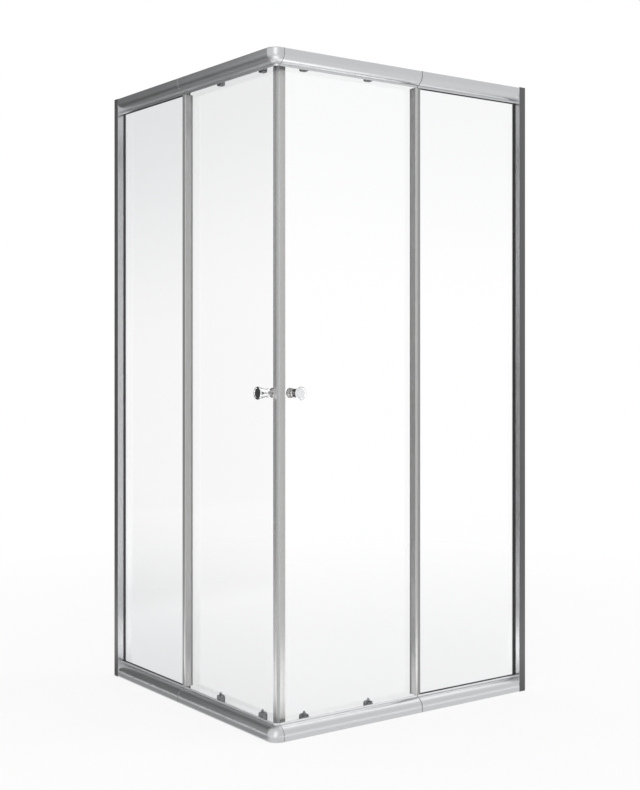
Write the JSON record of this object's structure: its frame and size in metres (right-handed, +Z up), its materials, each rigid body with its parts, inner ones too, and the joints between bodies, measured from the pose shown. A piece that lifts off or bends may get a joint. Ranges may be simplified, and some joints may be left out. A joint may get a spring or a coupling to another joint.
{
  "type": "shower enclosure with sliding door",
  "caption": "Square corner shower enclosure with curved aluminium rails, fixed glass side panes and framed glass doors that roll apart from the corner.",
  "frame": {"origin": "centre of the enclosure's square base, on the tray", "axes": "+Z up; the front side lies along X at the lowest Y and its wall is at +X; the left side lies along Y at the lowest X and its wall is at +Y; the doors meet at the corner towards -X and -Y"},
  "size_m": [0.9, 0.9, 1.8],
  "materials": {
    "frame_aluminium": "satin anodised",
    "clear_glass": "clear toughened glass",
    "chrome": "polished",
    "black_rubber": "matte",
    "seal_plastic": "soft translucent seal",
    "silver_plastic": "satin silver",
    "grey_plastic": "satin",
    "white_nylon": "smooth",
    "steel": "plain"
  },
  "bodies": {
    "frame": {"bottom_cover_door_front": "frame_aluminium", "bottom_cover_fixed_front": "frame_aluminium", "top_cover_door_front": "frame_aluminium", "top_cover_fixed_front": "frame_aluminium", "bottom_track_front": "frame_aluminium", "top_track_front": "frame_aluminium", "wall_channel_front": "frame_aluminium", "wall_post_front": "frame_aluminium", "edge_post_front": "frame_aluminium", "fixed_glass_front": "clear_glass", "bottom_cover_door_left": "frame_aluminium", "bottom_cover_fixed_left": "frame_aluminium", "top_cover_door_left": "frame_aluminium", "top_cover_fixed_left": "frame_aluminium", "bottom_track_left": "frame_aluminium", "top_track_left": "frame_aluminium", "wall_channel_left": "frame_aluminium", "wall_post_left": "frame_aluminium", "edge_post_left": "frame_aluminium", "fixed_glass_left": "clear_glass", "cover_joint_clips": "silver_plastic", "corner_cap_bottom": "silver_plastic", "corner_cap_top": "silver_plastic", "corner_braces": "frame_aluminium", "rail_end_blocks": "grey_plastic", "post_screws": "steel", "glass_gaskets": "black_rubber", "overlap_seals": "seal_plastic"},
    "door_front": {"door_glass_front": "clear_glass", "lead_profile_front": "frame_aluminium", "rear_profile_front": "frame_aluminium", "magnetic_seal_front": "seal_plastic", "knob_outer_front": "chrome", "knob_inner_front": "chrome", "top_roller_brackets_front": "grey_plastic", "bottom_roller_brackets_front": "grey_plastic", "plunger_spring_near_front": "steel", "plunger_spring_far_front": "steel"},
    "plunger_near_front": {"release_plunger_near_front": "grey_plastic"},
    "top_wheel_near_front": {"top_wheel_near_front": "white_nylon"},
    "bottom_wheel_near_front": {"bottom_wheel_near_front": "white_nylon"},
    "plunger_far_front": {"release_plunger_far_front": "grey_plastic"},
    "top_wheel_far_front": {"top_wheel_far_front": "white_nylon"},
    "bottom_wheel_far_front": {"bottom_wheel_far_front": "white_nylon"},
    "door_left": {"door_glass_left": "clear_glass", "lead_profile_left": "frame_aluminium", "rear_profile_left": "frame_aluminium", "magnetic_seal_left": "seal_plastic", "knob_outer_left": "chrome", "knob_inner_left": "chrome", "top_roller_brackets_left": "grey_plastic", "bottom_roller_brackets_left": "grey_plastic", "plunger_spring_near_left": "steel", "plunger_spring_far_left": "steel"},
    "plunger_near_left": {"release_plunger_near_left": "grey_plastic"},
    "top_wheel_near_left": {"top_wheel_near_left": "white_nylon"},
    "bottom_wheel_near_left": {"bottom_wheel_near_left": "white_nylon"},
    "plunger_far_left": {"release_plunger_far_left": "grey_plastic"},
    "top_wheel_far_left": {"top_wheel_far_left": "white_nylon"},
    "bottom_wheel_far_left": {"bottom_wheel_far_left": "white_nylon"}
  },
  "joints": [
    {"name": "door_front_slide", "type": "slide", "parent": "frame", "child": "door_front", "axis": [1, 0, 0], "range_m": [0, 0.348]},
    {"name": "plunger_near_front_slide", "type": "slide", "parent": "door_front", "child": "plunger_near_front", "axis": [0, 0, 1], "range_m": [0, 0.005], "stiffness_N_per_m": 400, "springref_m": -0.003, "deforming": ["plunger_spring_near_front"]},
    {"name": "top_wheel_near_front_spin", "type": "hinge", "parent": "door_front", "child": "top_wheel_near_front", "pos_m": [-0.316, -0.3903, 1.7841], "axis": [0, 1, 0], "continuous": true},
    {"name": "bottom_wheel_near_front_spin", "type": "hinge", "parent": "plunger_near_front", "child": "bottom_wheel_near_front", "pos_m": [-0.316, -0.3903, 0.0153], "axis": [0, 1, 0], "continuous": true},
    {"name": "plunger_far_front_slide", "type": "slide", "parent": "door_front", "child": "plunger_far_front", "axis": [0, 0, 1], "range_m": [0, 0.005], "stiffness_N_per_m": 400, "springref_m": -0.003, "deforming": ["plunger_spring_far_front"]},
    {"name": "top_wheel_far_front_spin", "type": "hinge", "parent": "door_front", "child": "top_wheel_far_front", "pos_m": [-0.1, -0.3903, 1.7841], "axis": [0, 1, 0], "continuous": true},
    {"name": "bottom_wheel_far_front_spin", "type": "hinge", "parent": "plunger_far_front", "child": "bottom_wheel_far_front", "pos_m": [-0.1, -0.3903, 0.0153], "axis": [0, 1, 0], "continuous": true},
    {"name": "door_left_slide", "type": "slide", "parent": "frame", "child": "door_left", "axis": [0, 1, 0], "range_m": [0, 0.348]},
    {"name": "plunger_near_left_slide", "type": "slide", "parent": "door_left", "child": "plunger_near_left", "axis": [0, 0, 1], "range_m": [0, 0.005], "stiffness_N_per_m": 400, "springref_m": -0.003, "deforming": ["plunger_spring_near_left"]},
    {"name": "top_wheel_near_left_spin", "type": "hinge", "parent": "door_left", "child": "top_wheel_near_left", "pos_m": [-0.3903, -0.316, 1.7841], "axis": [1, 0, 0], "continuous": true},
    {"name": "bottom_wheel_near_left_spin", "type": "hinge", "parent": "plunger_near_left", "child": "bottom_wheel_near_left", "pos_m": [-0.3903, -0.316, 0.0153], "axis": [1, 0, 0], "continuous": true},
    {"name": "plunger_far_left_slide", "type": "slide", "parent": "door_left", "child": "plunger_far_left", "axis": [0, 0, 1], "range_m": [0, 0.005], "stiffness_N_per_m": 400, "springref_m": -0.003, "deforming": ["plunger_spring_far_left"]},
    {"name": "top_wheel_far_left_spin", "type": "hinge", "parent": "door_left", "child": "top_wheel_far_left", "pos_m": [-0.3903, -0.1, 1.7841], "axis": [1, 0, 0], "continuous": true},
    {"name": "bottom_wheel_far_left_spin", "type": "hinge", "parent": "plunger_far_left", "child": "bottom_wheel_far_left", "pos_m": [-0.3903, -0.1, 0.0153], "axis": [1, 0, 0], "continuous": true}
  ],
  "couplings": [
    {"joint": "top_wheel_near_front_spin", "follows": "door_front_slide", "rad_per_m": 100},
    {"joint": "bottom_wheel_near_front_spin", "follows": "door_front_slide", "rad_per_m": 111.11},
    {"joint": "top_wheel_far_front_spin", "follows": "door_front_slide", "rad_per_m": 100},
    {"joint": "bottom_wheel_far_front_spin", "follows": "door_front_slide", "rad_per_m": 111.11},
    {"joint": "top_wheel_near_left_spin", "follows": "door_left_slide", "rad_per_m": -100},
    {"joint": "bottom_wheel_near_left_spin", "follows": "door_left_slide", "rad_per_m": -111.11},
    {"joint": "top_wheel_far_left_spin", "follows": "door_left_slide", "rad_per_m": -100},
    {"joint": "bottom_wheel_far_left_spin", "follows": "door_left_slide", "rad_per_m": -111.11}
  ]
}
